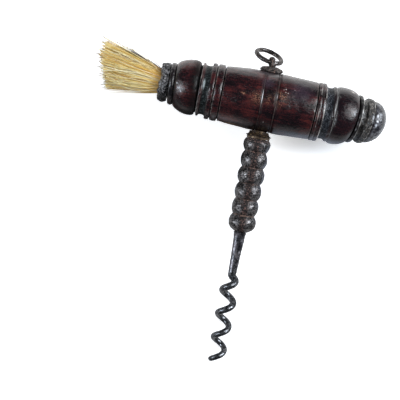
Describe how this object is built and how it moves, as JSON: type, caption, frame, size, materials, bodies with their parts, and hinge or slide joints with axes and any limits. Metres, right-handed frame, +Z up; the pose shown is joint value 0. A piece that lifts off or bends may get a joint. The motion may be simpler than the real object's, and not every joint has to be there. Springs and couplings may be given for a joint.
{
  "type": "corkscrew",
  "caption": "T-handled corkscrew with a turned wooden handle, a brush in one end, a ball-turned iron shank, a wire worm and a hanging ring.",
  "frame": {"origin": "middle of the part's box in X and Y, on the surface that it lies on", "axes": "+X along the handle from the brush to the knob, +Y from the worm's point towards the hanging ring, +Z up from the surface"},
  "size_m": [0.1402, 0.1536, 0.0288],
  "materials": {
    "rosewood": "dark red-brown rosewood, polished by handling, near black in the grooves",
    "bristle": "straw-coloured natural bristle",
    "waxed_thread": "brown waxed thread",
    "pitch": "black pitch, glossy and lumpy",
    "collar_brass": "dull brown brass with rust in it",
    "wrought_iron": "dark wrought iron, pitted, with brown rust in the hollows",
    "worm_iron": "dark grey drawn iron wire, worn smooth"
  },
  "bodies": {
    "corkscrew": {"handle": "rosewood", "bristles": "bristle", "bristle_binding": "waxed_thread", "pitch_plug": "pitch", "lower_collar": "collar_brass", "shank": "wrought_iron", "worm": "worm_iron", "upper_washer": "wrought_iron", "ring_eye": "wrought_iron"},
    "ring": {"suspension_ring": "wrought_iron"}
  },
  "joints": [
    {"name": "ring_swing", "type": "hinge", "parent": "corkscrew", "child": "ring", "pos_m": [0.0122, 0.06904, 0.01596], "axis": [0.9426, 0.0271, -0.3327], "range_deg": [-54, 176]}
  ]
}
